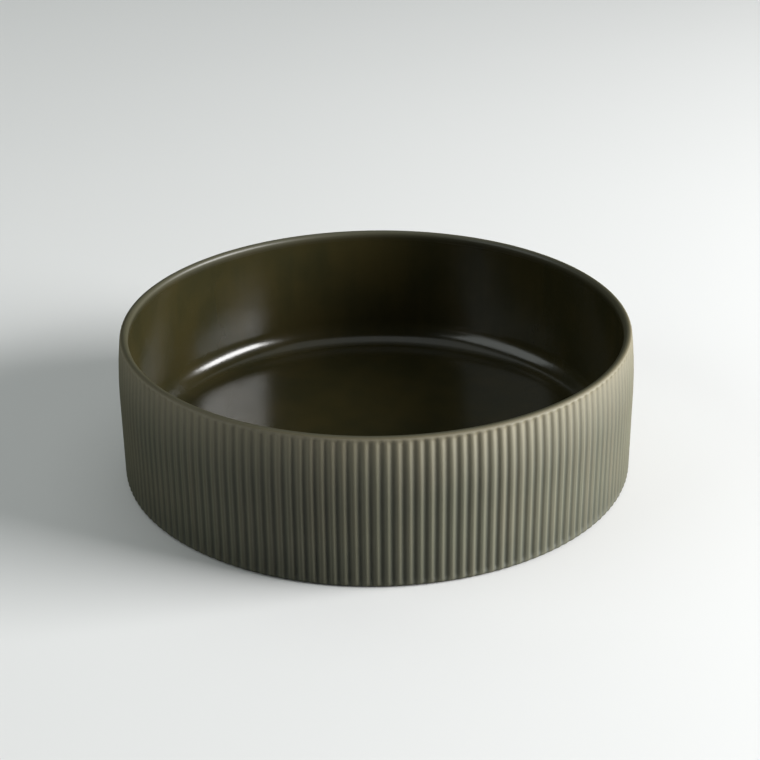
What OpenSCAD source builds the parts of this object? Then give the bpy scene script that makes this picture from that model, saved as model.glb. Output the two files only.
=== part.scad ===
// A low round porcelain bowl with a straight fluted wall.
// The fired body carries three coats of glaze: a glossy one inside and over the lip,
// a satin one on the flutes, and one in the recess within the bare foot ring.
// The axis of the bowl is +Z and the origin is on the table under its centre.

/* [Bowl] */
// Diameter over the ribs of the wall
outer_d = 240; // [200:1:300]
// Height from the table to the top of the lip
rim_h = 69.6; // [55:0.2:120]
// Thickness of the wall, from the top of a rib to the inside
wall_t = 5; // [4.6:0.1:8]
// Thickness of the floor over the recess
floor_t = 5; // [3.5:0.1:9]
// Radius of the round between the floor and the wall inside
floor_fillet = 12; // [5:0.5:20]

/* [Lip] */
// Thickness of the lip
lip_t = 3.8; // [3.4:0.1:4.4]
// How far the lip stands in from the ribs lower down
lip_inset = 1.9; // [1:0.1:3]
// Height over which the wall leans in to the lip
shoulder_h = 30; // [16:1:36]

/* [Flutes] */
// Number of ribs round the wall
rib_n = 166; // [120:1:200]
// Depth of a flute between two ribs
flute_depth = 0.7; // [0.4:0.05:0.9]
// Width of the top of a rib
rib_w = 1.8; // [1:0.1:2.1]
// Width of the deepest part of a flute
flute_w = 0.8; // [0.4:0.1:1]
// How far under the top of the lip the flutes run out
flute_drop = 0.6; // [0.55:0.05:1.2]

/* [Foot] */
// Height of the foot ring below the bottom edge of the wall
foot_h = 0.8; // [0.5:0.1:2]
// How far the foot ring stands in from the outside of the wall
foot_inset = 6; // [3:0.5:12]
// Width of the foot ring
foot_w = 5; // [3:0.5:9]
// Depth of the recess within the foot ring
recess_h = 2; // [1:0.1:3]
// Rounding of the bottom edge of the wall
edge_r = 1; // [0.6:0.1:2]

/* [Glaze] */
// Thickness of each coat of glaze
glaze_t = 0.4; // [0.2:0.05:0.5]
// Width of bare clay between the foot ring and the glaze in the recess
wiped_w = 2; // [1:0.5:5]

/* [Hidden] */

// Straight part of the wall and the round that leans in from it
outer_r = outer_d / 2;
inner_r = outer_r - wall_t;
shoulder_z = rim_h - shoulder_h;
floor_z = recess_h + floor_t;

// Round lip: the circle that the lip's section follows
lip_r = lip_t / 2;
lip_c_r = outer_r - lip_inset - lip_r;
lip_c_z = rim_h - lip_r;

// The wall leans in over the shoulder and runs into the lip's circle without a corner
shoulder_rise = lip_c_z - shoulder_z;
outside_round_r = (pow(shoulder_rise, 2) + pow(lip_inset, 2)) / (2 * lip_inset) + lip_r;
inside_lean = lip_t + lip_inset - wall_t;
inside_angle = 2 * atan(inside_lean / shoulder_rise);
inside_top = [lip_c_r - lip_r * cos(inside_angle), lip_c_z - lip_r * sin(inside_angle)];

// Level at which the flutes run out into the lip
flute_top_z = rim_h - flute_drop;
flute_top_r = lip_c_r + sqrt(pow(lip_r, 2) - pow(flute_top_z - lip_c_z, 2));

// The fluted part of the wall is a ring on a plain core, which it overlaps by a little
ring_share = 0.5;
overlap_share = 0.06;
ring_bottom_r = outer_r - wall_t * ring_share;
overlap = wall_t * overlap_share;

// Foot ring
foot_out_r = outer_r - foot_inset;
foot_in_r = foot_out_r - foot_w;
base_glaze_r = foot_in_r - wiped_w;

// Places across one rib and flute: share of the pitch, then share of the flute's depth
pitch = PI * outer_d / rib_n;
top_share = rib_w / pitch / 2;
bottom_share = flute_w / pitch / 2;
rib_shares = [[-top_share, 0], [top_share, 0], [0.5 - bottom_share, 1], [0.5 + bottom_share, 1]];
rib_points = len(rib_shares);
steps = rib_points * rib_n;

// Where the straight wall ends in the ring, as a share of the shoulder's rise
bend_share = 0.32;
bend_z = shoulder_z + shoulder_rise * bend_share;
// How much of the flute's depth is left on the bottom edge
edge_flute_share = 0.4;

// Straight steps in each round stretch of the inside
fillet_steps = 18;
lean_steps = 8;
lip_steps = 24;

// Fillet between the floor and the wall inside
function fillet_points(coat) = [
    for (i = [0 : fillet_steps])
        let (a = 90 * (i / fillet_steps - 1))
        let (r = floor_fillet + coat)
        [inner_r - floor_fillet + r * cos(a), floor_z + floor_fillet + r * sin(a)]
];

// Inside of the wall over the shoulder
function lean_points(coat) = [
    for (i = [0 : lean_steps])
        let (rise = i / lean_steps)
        let (a = inside_angle * rise)
        let (r = inner_r + (inside_top[0] - inner_r) * rise * rise)
        let (z = shoulder_z + (inside_top[1] - shoulder_z) * rise)
        [r + coat * cos(a), z + coat * sin(a)]
];

// Lip, from the inside of the wall over its top and down to the flutes
function lip_points(coat) = [
    for (i = [1 : lip_steps])
        let (r = lip_r - coat)
        let (first = 180 + inside_angle)
        let (last = asin((flute_top_z - lip_c_z) / r))
        let (a = first + (last - first) * i / lip_steps)
        [lip_c_r + r * cos(a), lip_c_z + r * sin(a)]
];

// The whole inside of the bowl under a coat, from the middle of the floor
function inside_points(coat) = concat(
    [[0, floor_z - coat]],
    fillet_points(coat),
    lean_points(coat),
    lip_points(coat)
);

// The same points from the last one to the first
function backwards(points) = [for (i = [1 : len(points)]) points[len(points) - i]];

// How far the ribs stand in from the outside of the bowl at a height over the shoulder
function lean(z) = outside_round_r - sqrt(pow(outside_round_r, 2) - pow(z - shoulder_z, 2));

// Levels of the fluted surface under a coat: height, radius over the ribs, share of the flutes' depth
function levels(coat) = [
    [foot_h, outer_r - edge_r, edge_flute_share],
    [foot_h + edge_r, outer_r - coat, 1],
    [bend_z, outer_r - lean(bend_z) - coat, 1],
    [lip_c_z, outer_r - lean(lip_c_z) - coat, 1],
    [flute_top_z, flute_top_r, 0]
];

// Points of one level, all the way round
function level_points(level) = [
    for (k = [0 : rib_n - 1])
        for (s = rib_shares)
            let (a = 360 * (k + s[0]) / rib_n)
            let (r = level[1] - flute_depth * s[1] * level[2])
            [r * cos(a), r * sin(a), level[0]]
];

// Points of a plain circle with one point to a rib
function plain_points(r, z) = [
    for (k = [0 : rib_n - 1])
        [r * cos(360 * k / rib_n), r * sin(360 * k / rib_n), z]
];

// Triangles between two levels that have as many points, the second one above the first
function band(first, second) = [
    for (i = [0 : steps - 1])
        let (j = (i + 1) % steps)
        each [[first + i, second + i, second + j], [first + i, second + j, first + j]]
];

// The same surface, seen from its other side
function flipped(triangles) = [for (t = triangles) [t[2], t[1], t[0]]];

// Triangles of the flat ring between a level and a plain circle
function rim_band(level, plain) = [
    for (k = [0 : rib_n - 1])
        let (n = (k + 1) % rib_n)
        let (i = level + rib_points * k)
        each [
            [i, i + 1, plain + k],
            [i + 1, i + 2, plain + k],
            [i + 2, i + 3, plain + k],
            [i + 3, level + rib_points * n, plain + n],
            [i + 3, plain + n, plain + k]
        ]
];

// Triangles between two plain circles
function plain_band(first, second) = [
    for (k = [0 : rib_n - 1])
        let (n = (k + 1) % rib_n)
        each [[first + k, second + k, second + n], [first + k, second + n, first + n]]
];

// Ring with the flutes, closed on its inside by a plain cone
module fluted_ring() {
    rows = levels(glaze_t);
    wall = [for (row = rows) each level_points(row)];
    bottom = len(wall);
    top = bottom + rib_n;
    last = steps * (len(rows) - 1);
    polyhedron(
        points = concat(wall, plain_points(ring_bottom_r, foot_h), plain_points(lip_c_r, flute_top_z)),
        faces = concat(
            [for (i = [0 : len(rows) - 2]) each band(steps * i, steps * (i + 1))],
            rim_band(0, bottom),
            flipped(rim_band(last, top)),
            flipped(plain_band(bottom, top))
        )
    );
}

// Core within the fluted ring: floor, wall and lip, with the foot ring round the recess
module plain_core() {
    rotate_extrude($fn = 360)
        polygon(concat(inside_points(glaze_t), [
            [lip_c_r + overlap, flute_top_z],
            [ring_bottom_r + overlap, foot_h],
            [foot_out_r, foot_h],
            [foot_out_r, 0],
            [foot_in_r, 0],
            [foot_in_r, recess_h],
            [0, recess_h]
        ]));
}

// Fired clay: floor, wall with its flutes, lip and bare foot ring
module porcelain_body() {
    color([0.86, 0.85, 0.8])
        union() {
            fluted_ring();
            plain_core();
        }
}

// Glossy dark olive coat on the inside and over the lip
module inner_glaze() {
    color([0.2, 0.19, 0.12])
        rotate_extrude($fn = 360)
            polygon(concat(inside_points(0), backwards(inside_points(glaze_t))));
}

// Satin grey-olive coat on the flutes, thinning out on the bottom edge and under the lip
module outer_glaze() {
    outside = [for (row = levels(0)) each level_points(row)];
    inside = [for (row = levels(glaze_t)) each level_points(row)];
    rows = len(levels(0));
    last = steps * (rows - 1);
    // The first and last level of the two sides are the same points
    shared = concat(outside, [for (i = [steps : last - 1]) inside[i]]);
    function inner_index(level) = level == 0 || level == rows - 1 ? steps * level : last + steps * level;
    color([0.42, 0.41, 0.35])
        polyhedron(
            points = shared,
            faces = concat(
                [for (i = [0 : rows - 2]) each band(steps * i, steps * (i + 1))],
                [for (i = [0 : rows - 2]) each flipped(band(inner_index(i), inner_index(i + 1)))]
            )
        );
}

// Coat in the recess within the foot ring
module base_glaze() {
    color([0.3, 0.29, 0.23])
        translate([0, 0, recess_h - glaze_t])
            cylinder(r = base_glaze_r, h = glaze_t, $fn = 360);
}

porcelain_body();
inner_glaze();
outer_glaze();
base_glaze();
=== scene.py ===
import math
import random

import bmesh
import bpy
from mathutils import Matrix, Vector


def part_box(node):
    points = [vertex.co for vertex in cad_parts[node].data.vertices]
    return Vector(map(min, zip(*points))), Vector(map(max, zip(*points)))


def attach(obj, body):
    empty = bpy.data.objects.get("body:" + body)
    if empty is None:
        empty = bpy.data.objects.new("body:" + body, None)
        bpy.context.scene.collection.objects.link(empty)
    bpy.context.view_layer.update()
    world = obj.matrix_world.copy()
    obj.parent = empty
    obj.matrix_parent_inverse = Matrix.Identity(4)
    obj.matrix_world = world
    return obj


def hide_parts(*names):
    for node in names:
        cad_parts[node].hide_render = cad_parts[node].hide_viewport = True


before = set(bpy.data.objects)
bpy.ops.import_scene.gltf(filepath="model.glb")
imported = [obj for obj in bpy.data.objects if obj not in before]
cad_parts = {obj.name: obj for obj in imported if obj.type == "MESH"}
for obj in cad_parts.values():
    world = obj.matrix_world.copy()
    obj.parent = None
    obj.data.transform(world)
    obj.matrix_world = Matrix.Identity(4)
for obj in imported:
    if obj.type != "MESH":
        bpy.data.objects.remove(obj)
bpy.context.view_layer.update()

# One millimetre in metres
MM = 0.001

# Driving sizes, in millimetres; the first two come from the frame
OUTER_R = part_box("outer_glaze")[1].x / MM
RIM_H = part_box("inner_glaze")[1].z / MM
RIBS = 166
FLUTE_DEPTH = 0.7
WALL_T = 5.0
FLOOR_T = 5.0
FLOOR_FILLET = 12.0
LIP_R = 1.9
LIP_INSET = 1.9
SHOULDER_H = 30.0
FLUTE_DROP = 0.6
FOOT_H = 0.8
FOOT_INSET = 6.0
FOOT_W = 5.0
EDGE_R = 1.0
RECESS_H = 2.0
WIPED_W = 2.0

# Thickness of a coat of glaze, at its thin end under the lip, and in the recess
COAT = 0.35
COAT_END = 0.06
RECESS_COAT = 0.4

# Worked out from them
PITCH_ANGLE = 2 * math.pi / RIBS
INNER_R = OUTER_R - WALL_T
FLOOR_Z = RECESS_H + FLOOR_T
FOOT_OUT_R = OUTER_R - FOOT_INSET
FOOT_IN_R = FOOT_OUT_R - FOOT_W
EDGE_TOP_Z = FOOT_H + EDGE_R
SHOULDER_Z = RIM_H - SHOULDER_H
LIP_C_Z = RIM_H - LIP_R
LIP_C_R = OUTER_R - LIP_INSET - LIP_R
FLUTE_TOP_Z = RIM_H - FLUTE_DROP
SHOULDER_RISE = LIP_C_Z - SHOULDER_Z

# Rounds of the leaning wall, which run into the circle of the lip without a corner
INSIDE_LEAN = 2 * LIP_R + LIP_INSET - WALL_T
OUTSIDE_ROUND_R = (SHOULDER_RISE**2 + LIP_INSET**2) / (2 * LIP_INSET) + LIP_R
INSIDE_ROUND_R = (SHOULDER_RISE**2 + INSIDE_LEAN**2) / (2 * INSIDE_LEAN) - LIP_R
OUTSIDE_ANGLE = 2 * math.atan(LIP_INSET / SHOULDER_RISE)
INSIDE_ANGLE = 2 * math.atan(INSIDE_LEAN / SHOULDER_RISE)


def smooth(share):
    """A soft step from 0 to 1."""
    share = min(max(share, 0.0), 1.0)
    return share * share * (3 - 2 * share)


def spread(first, last, count):
    """Evenly spaced values from first to last, both included."""
    return [first + (last - first) * i / (count - 1) for i in range(count)]


def arc(centre, radius, first, last, count):
    """Points (radius, height) along an arc, by its angles in degrees."""
    angles = [math.radians(a) for a in spread(first, last, count)]
    return [(centre[0] + radius * math.cos(a), centre[1] + radius * math.sin(a)) for a in angles]


def lean(height, round_r):
    """How far a wall that leans in along a round stands in at a height."""
    rise = max(height - SHOULDER_Z, 0.0)
    return round_r - math.sqrt(round_r**2 - rise**2)


def crest_radius(height):
    """Radius over the ribs at a height, and over the round of the lip above them."""
    if height <= LIP_C_Z + LIP_R * math.sin(OUTSIDE_ANGLE):
        return OUTER_R - lean(height, OUTSIDE_ROUND_R)
    return LIP_C_R + math.sqrt(LIP_R**2 - (height - LIP_C_Z) ** 2)


def inside_radius(height):
    """Radius of the glazed inside of the wall at a height."""
    return INNER_R - lean(height, INSIDE_ROUND_R)


# Mesh tools

JOIN_DISTANCE = 0.001 * MM
CREASE_ANGLE = math.radians(38)


def turned(outline, columns):
    """A solid of revolution: a grid rolled round a closed section and round the axis."""
    bm = bmesh.new()
    rows = len(outline)
    bmesh.ops.create_grid(bm, x_segments=columns, y_segments=rows, size=0.5)
    for vert in bm.verts:
        angle = 2 * math.pi * round((vert.co.x + 0.5) * columns) / columns
        radius, height = outline[round((vert.co.y + 0.5) * rows) % rows]
        vert.co = (radius * MM * math.cos(angle), radius * MM * math.sin(angle), height * MM)
    # The sides of the grid meet, and what lay on the axis shrinks to points and loose edges
    bmesh.ops.remove_doubles(bm, verts=bm.verts, dist=JOIN_DISTANCE)
    loose = [e for e in bm.edges if not e.link_faces]
    bmesh.ops.delete(bm, geom=loose, context="EDGES")
    bmesh.ops.recalc_face_normals(bm, faces=bm.faces)
    return bm


def finished(bm, name, body, material):
    """Turns a mesh into a piece that stands for its CAD node, smooth but for its corners."""
    for face in bm.faces:
        face.smooth = True
    for edge in bm.edges:
        edge.smooth = edge.calc_face_angle(0) < CREASE_ANGLE
    mesh = bpy.data.meshes.new(name)
    bm.to_mesh(mesh)
    bm.free()
    mesh.materials.append(material)
    piece = bpy.data.objects.new(name, mesh)
    bpy.context.collection.objects.link(piece)
    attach(piece, "root")
    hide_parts(body)
    return piece


# Flutes

COLUMNS_PER_RIB = 10
# Share of half a pitch that the round of a rib takes; the hollow takes the rest
CREST_SHARE = 0.62
# How far the columns stand from even spacing, as a share of the pitch
COLUMN_SQUEEZE = -0.025
# Points farther from the axis than this are on the fluted wall
FLUTED_BEYOND = OUTER_R - EDGE_R - 2.9

# Small differences from flute to flute, and from rib to rib
DEPTH_SPREAD = 0.07
PLACE_SPREAD = 0.012
draw = random.Random(7)
DEPTH_VARIES = [1 + draw.uniform(-DEPTH_SPREAD, DEPTH_SPREAD) for _ in range(RIBS)]
PLACE_VARIES = [draw.uniform(-PLACE_SPREAD, PLACE_SPREAD) for _ in range(RIBS)]

# Stretches of the fluted wall: lowest and highest row, then rows of a fine and of a coarse mesh
WALL_STRETCHES = [
    (EDGE_TOP_Z + 0.3, EDGE_TOP_Z + 3.0, 5, 3),
    (EDGE_TOP_Z + 9, SHOULDER_Z, 4, 2),
    (SHOULDER_Z + 4, LIP_C_Z - 1.4, 8, 5),
    (LIP_C_Z - 0.8, FLUTE_TOP_Z, 9, 4),
]


def flute_share(place):
    """Share of a flute's depth at a place from -0.5 to 0.5: a broad rib, then a narrow hollow."""
    x = 2 * abs(place)
    if x < CREST_SHARE:
        return x * x / CREST_SHARE
    return 1 - (1 - x) ** 2 / (1 - CREST_SHARE)


def flute_fade(height):
    """Share of the depth left at a height: none at the lip, a little on the bottom edge."""
    top_fade_h, bottom_fade_h, bottom_share = 2.5, 3.0, 0.35
    top = smooth((FLUTE_TOP_Z - height) / top_fade_h)
    bottom = bottom_share + (1 - bottom_share) * smooth((height - FOOT_H) / bottom_fade_h)
    return top * bottom


def press_flutes(bm):
    """Presses the flutes into every point of the fluted wall."""
    for vert in bm.verts:
        radius = math.hypot(vert.co.x, vert.co.y) / MM
        height = vert.co.z / MM
        if radius < FLUTED_BEYOND:
            continue
        along = math.atan2(vert.co.y, vert.co.x) / PITCH_ANGLE
        rib = round(along)
        place = along - rib
        place -= COLUMN_SQUEEZE * math.sin(2 * math.pi * place)
        flute = rib if place >= 0 else rib - 1
        depth = FLUTE_DEPTH * DEPTH_VARIES[flute % RIBS] * flute_share(place) * flute_fade(height)
        next_rib = rib + 1 if place >= 0 else rib - 1
        here, there = PLACE_VARIES[rib % RIBS], PLACE_VARIES[next_rib % RIBS]
        shift = here * (1 - abs(place)) + there * abs(place)
        angle = (rib + place + shift) * PITCH_ANGLE
        radius -= depth
        vert.co.x = radius * MM * math.cos(angle)
        vert.co.y = radius * MM * math.sin(angle)


def wall_levels(fine):
    """Heights of the rows of the fluted wall, from its bottom edge to the top of the flutes."""
    levels = []
    for first, last, fine_rows, coarse_rows in WALL_STRETCHES:
        levels += spread(first, last, fine_rows if fine else coarse_rows)
    return levels


def outer_coat_outline():
    """Section of the satin coat: up the flutes, down their back, and in under the edge."""
    under_z = FOOT_H - COAT
    outside = arc((OUTER_R - EDGE_R, under_z + EDGE_R), EDGE_R, -90, 0, 6)
    outside += [(crest_radius(z), z) for z in wall_levels(True)]
    back = []
    for z in reversed(wall_levels(False)):
        thickness = COAT if z < FLUTE_TOP_Z else COAT_END
        back.append((crest_radius(z) - thickness, z))
    body_edge_r = EDGE_R - COAT
    back += arc((OUTER_R - EDGE_R, FOOT_H + body_edge_r), body_edge_r, 0, -90, 3)
    end_r = FOOT_OUT_R + 0.05
    return outside + back + [(end_r, FOOT_H), (end_r, under_z)]


# Shader tools

# Places of the sockets of a Mix node that mixes colours
MIX_SHARE, MIX_FIRST, MIX_SECOND, MIX_RESULT = 0, 6, 7, 2


class Value:
    """A number socket in a material, with arithmetic."""

    def __init__(self, shader, socket):
        self.shader = shader
        self.socket = socket

    def _math(self, operation, *inputs):
        return Value(self.shader, self.shader.node("Math", {"operation": operation}, *inputs))

    def __add__(self, other):
        return self._math("ADD", self, other)

    def __radd__(self, other):
        return self._math("ADD", self, other)

    def __sub__(self, other):
        return self._math("SUBTRACT", self, other)

    def __rsub__(self, other):
        return self._math("SUBTRACT", other, self)

    def __mul__(self, other):
        return self._math("MULTIPLY", self, other)

    def __rmul__(self, other):
        return self._math("MULTIPLY", self, other)

    def __truediv__(self, other):
        return self._math("DIVIDE", self, other)

    def __pow__(self, other):
        return self._math("POWER", self, other)

    def abs(self):
        return self._math("ABSOLUTE", self)

    def sine(self):
        return self._math("SINE", self)

    def fraction(self):
        return self._math("FRACT", self)

    def least(self, other):
        return self._math("MINIMUM", self, other)

    def most(self, other):
        return self._math("MAXIMUM", self, other)

    def step(self, low_painted_shade, high):
        """A soft step from 0 to 1 as the value goes from low to high."""
        settings = {"interpolation_type": "SMOOTHSTEP"}
        return Value(self.shader, self.shader.node("MapRange", settings, self, low_painted_shade, high, 0.0, 1.0))


class Shader:
    """A material with one Principled surface, and a single way to add any other node."""

    def __init__(self, name, **constants):
        self.material = bpy.data.materials.new(name)
        self.material.use_nodes = True
        self.tree = self.material.node_tree
        self.surface = self.tree.nodes["Principled BSDF"]
        for socket, value in constants.items():
            self.surface.inputs[socket.replace("_", " ")].default_value = value
        self.place = self.node("TexCoord", {}, output="Object")

    def fill(self, socket, value):
        """Links a socket to what varies, or sets it to a number, a vector or a colour."""
        source = value.socket if isinstance(value, Value) else value
        if isinstance(source, bpy.types.NodeSocket):
            self.tree.links.new(source, socket)
        else:
            socket.default_value = source

    def node(self, kind, settings, *inputs, output=0, **named):
        """Adds a node, sets it, fills its sockets in order or by name, and gives one output."""
        new = self.tree.nodes.new("ShaderNode" + kind)
        for key, value in settings.items():
            setattr(new, key, value)
        for index, value in enumerate(inputs):
            self.fill(new.inputs[index], value)
        for key, value in named.items():
            self.fill(new.inputs[key], value)
        return new.outputs[output]

    def feed(self, socket, value):
        """Links what varies over the surface to a socket of the surface."""
        self.fill(self.surface.inputs[socket], value)

    def axes(self):
        """The three coordinates of a point on the piece, in metres."""
        outputs = [self.node("SeparateXYZ", {}, self.place, output=i) for i in range(3)]
        return [Value(self, socket) for socket in outputs]

    def noise(self, scale, detail=3.0, roughness=0.5, stretch=(1, 1, 1)):
        """Noise of about one swell per 1/scale metres, stretched along the axes."""
        place = self.node("VectorMath", {"operation": "MULTIPLY"}, self.place, stretch)
        settings = {"Scale": scale, "Detail": detail, "Roughness": roughness}
        return Value(self, self.node("TexNoise", {}, Vector=place, **settings))

    def mix(self, share, first, second):
        """A colour between two, by a share."""
        new = self.tree.nodes.new("ShaderNodeMix")
        new.data_type = "RGBA"
        self.fill(new.inputs[MIX_SHARE], share)
        for index, colour in ((MIX_FIRST, first), (MIX_SECOND, second)):
            self.fill(new.inputs[index], (*colour, 1) if isinstance(colour, tuple) else colour)
        return new.outputs[MIX_RESULT]

    def bump(self, height, depth, strength):
        """Feeds a fine relief, depth metres deep for a height of 1, into the normal."""
        sockets = {"Height": height, "Distance": depth, "Strength": strength}
        self.feed("Normal", self.node("Bump", {}, output="Normal", **sockets))


# Finishes

# Colours of the glazes, the clay and the floor
DARK_OLIVE = (0.021, 0.0195, 0.0078)
BROWN_OLIVE = (0.031, 0.0255, 0.0090)
LIP_OLIVE = (0.052, 0.049, 0.028)
THIN_OLIVE = (0.102, 0.087, 0.046)
# Browner thin glaze of the upper wall, made lighter too as painted light from above
THIN_BROWN_AND_TOP_LIGHT = (0.186, 0.160, 0.092)
RIB_BROWN = (0.081, 0.073, 0.036)
RIB_GREEN = (0.069, 0.070, 0.035)
RIB_GREY = (0.120, 0.116, 0.067)
# Green of glaze pooled between the ribs, used also as painted shade low on the wall
POOL_AND_LOW_SHADE_GREEN = (0.034, 0.038, 0.019)
CLAY = (0.62, 0.585, 0.51)
CLAY_DARK = (0.47, 0.43, 0.36)
FLOOR_GREY = (0.68, 0.68, 0.677)
FLOOR_PALE = (0.70, 0.70, 0.697)

# Depths of the fine reliefs, in metres
GLAZE_RIPPLE = 0.00012
SATIN_GRAIN = 0.00004
CLAY_GRAIN = 0.00005


def liner_glaze():
    """Glossy dark olive glaze, clouded, with faint runs; thinner and more satin over the lip."""
    s = Shader("liner_glaze", IOR=1.5, Specular_IOR_Level=0.5)
    x, y, z = s.axes()
    radius = (x * x + y * y) ** 0.5
    clouds = s.noise(26, 4, 0.55)
    runs = s.noise(90, 3, 0.5, (1, 1, 0.12))
    tone = (0.65 * clouds + 0.35 * runs).step(0.36, 0.64)
    colour = s.mix(tone, DARK_OLIVE, BROWN_OLIVE)
    lip = z.step((RIM_H - 3.6) * MM, (RIM_H - 1.4) * MM)
    edge = radius.step((LIP_C_R + 0.2) * MM, (LIP_C_R + 1.5) * MM)
    s.feed("Base Color", s.mix(edge, s.mix(lip, colour, LIP_OLIVE), THIN_OLIVE))
    satin = z.step((RIM_H - 6.0) * MM, (RIM_H - 2.4) * MM)
    s.feed("Roughness", 0.13 + 0.12 * s.noise(60, 3, 0.6) + 0.26 * satin + 0.2 * edge)
    s.bump(s.noise(140, 2, 0.5), GLAZE_RIPPLE, 0.5)
    return s.material


def flute_glaze():
    """Satin olive glaze: grey on the ribs' shoulders, pooled green between, browner and lighter
    higher up with painted light from above, darker towards the bottom with painted shade.
    """
    s = Shader("flute_glaze", IOR=1.56, Specular_IOR_Level=1.0)
    x, y, z = s.axes()
    azimuth = Value(s, s.node("Math", {"operation": "ARCTAN2"}, y, x))
    from_rib = ((azimuth / PITCH_ANGLE + (RIBS + 0.5)).fraction() - 0.5).abs()
    clouds = s.noise(30, 4, 0.55)
    runs = s.noise(160, 3, 0.55, (1, 1, 0.08))
    place = from_rib + 0.05 * (runs - 0.5)
    rib = s.mix((0.5 * clouds + 0.5 * runs).step(0.38, 0.62), RIB_BROWN, RIB_GREEN)
    shoulder = 1 - (place - 0.17).abs().step(0.02, 0.09)
    rib = s.mix(shoulder * 0.62, rib, RIB_GREY)
    pool = place.step(0.26, 0.42) * (1 - z.step((FLUTE_TOP_Z - 7.0) * MM, FLUTE_TOP_Z * MM))
    # Painted shade: darker and greener towards the bottom of the wall, near the floor
    low_painted_shade = 1 - z.step(FOOT_H * MM, 24 * MM)
    colour = s.mix((pool * 0.68 + low_painted_shade * 0.28).least(1.0), rib, POOL_AND_LOW_SHADE_GREEN)
    # Painted light: the wall turns lighter and browner towards the top, partly a browner thin
    # glaze, partly light from above on the leaning shoulder
    lit_brown_from_z, lit_brown_rise, lit_brown_most = 36.0, 34.0, 0.68
    lit_top_share = ((z / MM - lit_brown_from_z) / lit_brown_rise).most(0.0)
    colour = s.mix((lit_top_share * lit_top_share * lit_brown_most).least(lit_brown_most), colour, THIN_BROWN_AND_TOP_LIGHT)
    lip = z.step((FLUTE_TOP_Z - 1.0) * MM, FLUTE_TOP_Z * MM)
    s.feed("Base Color", s.mix(lip * 0.7, colour, THIN_OLIVE))
    s.feed("Roughness", 0.57 + 0.10 * s.noise(120, 3, 0.6) + 0.25 * lip)
    s.bump(s.noise(900, 2, 0.5), SATIN_GRAIN, 0.5)
    return s.material


def recess_glaze():
    """Glossy olive glaze in the recess, clouded."""
    s = Shader("recess_glaze", IOR=1.5, Specular_IOR_Level=0.5)
    tone = s.noise(22, 4, 0.55).step(0.36, 0.64)
    s.feed("Base Color", s.mix(0.5 * tone, RIB_GREEN, THIN_OLIVE))
    s.feed("Roughness", 0.16 + 0.14 * s.noise(70, 3, 0.6))
    s.bump(s.noise(140, 2, 0.5), GLAZE_RIPPLE, 0.5)
    return s.material


def bare_clay():
    """Fired clay of the foot ring: pale, matt, with fine grains and faint turning marks."""
    s = Shader("bare_clay", IOR=1.45, Specular_IOR_Level=0.25)
    x, y, _ = s.axes()
    radius = (x * x + y * y) ** 0.5
    turning = (radius * 2600 + 2.0 * s.noise(40)).sine()
    grains = s.noise(1500, 2, 0.6)
    stain = s.noise(35, 4, 0.6).step(0.4, 0.75)
    s.feed("Base Color", s.mix(stain * 0.5 + grains * 0.25, CLAY, CLAY_DARK))
    s.feed("Roughness", 0.72 + 0.16 * grains)
    s.bump(grains + 0.25 * turning, CLAY_GRAIN, 0.6)
    return s.material


# Pieces

def make_outer_glaze():
    """The satin coat on the fluted wall."""
    bm = turned(outer_coat_outline(), RIBS * COLUMNS_PER_RIB)
    press_flutes(bm)
    return finished(bm, "outer_glaze_coat", "outer_glaze", flute_glaze())


def inside_outline(coat, wall_rows, lip_rows):
    """Inside of the bowl under a coat, from the floor's centre up the wall and over the lip."""
    fillet_c = (INNER_R - FLOOR_FILLET, FLOOR_Z + FLOOR_FILLET)
    floor = [(r, FLOOR_Z - coat) for r in (0, 40, 80)]
    fillet = arc(fillet_c, FLOOR_FILLET + coat, -90, 0, 12)
    heights = spread(fillet_c[1] + 8, LIP_C_Z - 1.2, wall_rows)
    wall = [(inside_radius(z) + coat, z) for z in heights]
    last = math.degrees(math.asin((FLUTE_TOP_Z - LIP_C_Z) / (LIP_R - coat)))
    first = 180 + math.degrees(INSIDE_ANGLE)
    lip = arc((LIP_C_R, LIP_C_Z), LIP_R - coat, first, last, lip_rows)
    return floor + fillet + wall + lip


def make_inner_glaze():
    """The glossy coat on the inside and over the lip."""
    outside = inside_outline(0, 14, 22)
    inside = inside_outline(COAT, 6, 10)[::-1]
    bm = turned(outside + inside, 4 * RIBS)
    return finished(bm, "inner_glaze_coat", "inner_glaze", liner_glaze())


def make_base_glaze():
    """The coat in the recess within the foot ring, round at its edge."""
    glaze_r = FOOT_IN_R - WIPED_W
    round_r = 0.3
    low_z = RECESS_H - RECESS_COAT
    outline = [(0, RECESS_H), (glaze_r, RECESS_H)]
    outline += arc((glaze_r - round_r, low_z + round_r), round_r, 0, -90, 4)
    outline += [(0, low_z)]
    bm = turned(outline, 2 * RIBS)
    return finished(bm, "base_glaze_coat", "base_glaze", recess_glaze())


def make_body():
    """The fired clay under its coats, with the bare foot ring."""
    inside = inside_outline(COAT, 4, 8)
    heights = [z for z in reversed(wall_levels(False)) if z < FLUTE_TOP_Z]
    wall = [(crest_radius(z) - COAT, z) for z in heights]
    edge = arc((OUTER_R - EDGE_R, EDGE_TOP_Z - COAT), EDGE_R - COAT, 0, -90, 3)
    round_r, recess_round_r = 0.5, 1.0
    foot = [(FOOT_OUT_R, FOOT_H)]
    foot += arc((FOOT_OUT_R - round_r, round_r), round_r, 0, -90, 4)
    foot += arc((FOOT_IN_R + round_r, round_r), round_r, -90, -180, 4)
    recess_round_c = (FOOT_IN_R - recess_round_r, RECESS_H - recess_round_r)
    foot += arc(recess_round_c, recess_round_r, 0, 90, 5)
    bm = turned(inside + wall + edge + foot + [(0, RECESS_H)], 6 * RIBS)
    press_flutes(bm)
    return finished(bm, "fired_clay_body", "porcelain_body", bare_clay())


# Studio

WHITE = (1.0, 1.0, 1.0)
COOL = (0.94, 1.0, 0.98)


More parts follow.
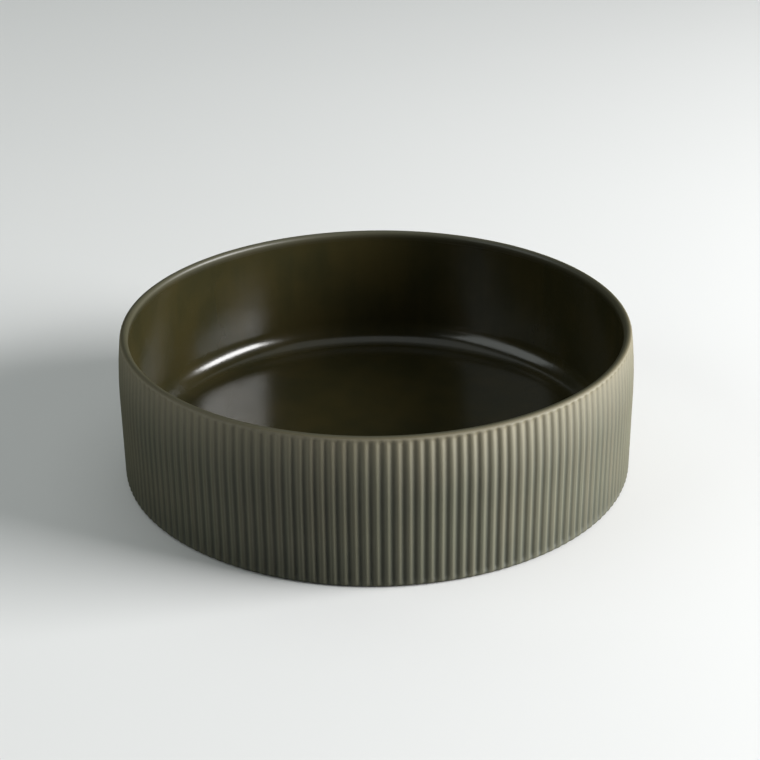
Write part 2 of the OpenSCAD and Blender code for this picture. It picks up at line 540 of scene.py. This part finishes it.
def make_camera():
    """The camera, from its place and turns about the bowl, fitted to the outline and the ribs."""
    image_px = 760
    focal_px = 1655.5
    distance, height = 5.8644 * OUTER_R * MM, 3.1657 * OUTER_R * MM
    pitch, yaw, roll = 0.4518, 0.0024, 0.0101
    forward = Vector((
        math.sin(yaw) * math.cos(pitch), math.cos(yaw) * math.cos(pitch), -math.sin(pitch)
    ))
    right = Vector((math.cos(yaw), -math.sin(yaw), 0))
    down = forward.cross(right)
    image_right = right * math.cos(roll) + down * math.sin(roll)
    image_up = right * math.sin(roll) - down * math.cos(roll)
    camera = bpy.data.objects.new("camera", bpy.data.cameras.new("camera"))
    camera.data.sensor_width = 36
    camera.data.lens = camera.data.sensor_width * focal_px / image_px
    camera.data.clip_start = 0.01
    turn = Matrix((image_right, image_up, -forward)).transposed().to_4x4()
    rib_phase = 0.32 * PITCH_ANGLE
    swing = Matrix.Rotation(-rib_phase, 4, "Z")
    camera.matrix_world = swing @ Matrix.Translation((0, -distance, height)) @ turn
    bpy.context.collection.objects.link(camera)
    bpy.context.scene.camera = camera


def make_light(name, place, size, power, colour, glossy=True):
    """A rectangular soft light that faces the bowl; glossy says whether it shows in the gloss."""
    light = bpy.data.lights.new(name, "AREA")
    light.shape = "RECTANGLE"
    light.size, light.size_y = size
    light.energy = power
    light.color = colour
    lamp = bpy.data.objects.new(name, light)
    lamp.location = place
    lamp.rotation_euler = (-Vector(place)).to_track_quat("-Z", "Y").to_euler()
    lamp.visible_glossy = glossy
    bpy.context.collection.objects.link(lamp)


def make_floor():
    """A wide, plain, pale floor."""
    bm = bmesh.new()
    bmesh.ops.create_circle(bm, cap_ends=True, segments=96, radius=6)
    mesh = bpy.data.meshes.new("floor")
    bm.to_mesh(mesh)
    bm.free()
    s = Shader("floor_paint", Specular_IOR_Level=0.2, Roughness=0.7)
    s.feed("Base Color", s.mix(s.noise(3, 2), FLOOR_GREY, FLOOR_PALE))
    mesh.materials.append(s.material)
    floor = bpy.data.objects.new("floor", mesh)
    floor.visible_glossy = False
    bpy.context.collection.objects.link(floor)


def make_world():
    """Even, dim light from all round."""
    world = bpy.data.worlds.new("studio")
    world.use_nodes = True
    background = world.node_tree.nodes["Background"]
    background.inputs["Color"].default_value = (*WHITE, 1)
    background.inputs["Strength"].default_value = 0.01
    bpy.context.scene.world = world


make_camera()
make_body()
make_inner_glaze()
make_outer_glaze()
make_base_glaze()
make_floor()
make_world()
make_light("right_panel", (1.712, -0.302, 0.633), (1.2, 0.9), 91, WHITE)
make_light("left_panel", (-1.55, -0.415, 0.925), (1.6, 1.2), 11.5, COOL)
make_light("top_panel", (0.0, 0.3, 2.0), (2.4, 2.4), 11, COOL)
make_light("back_panel", (-0.6, 1.95, 1.15), (3.0, 1.8), 12, COOL, glossy=False)
bpy.context.scene.view_settings.view_transform = "Standard"
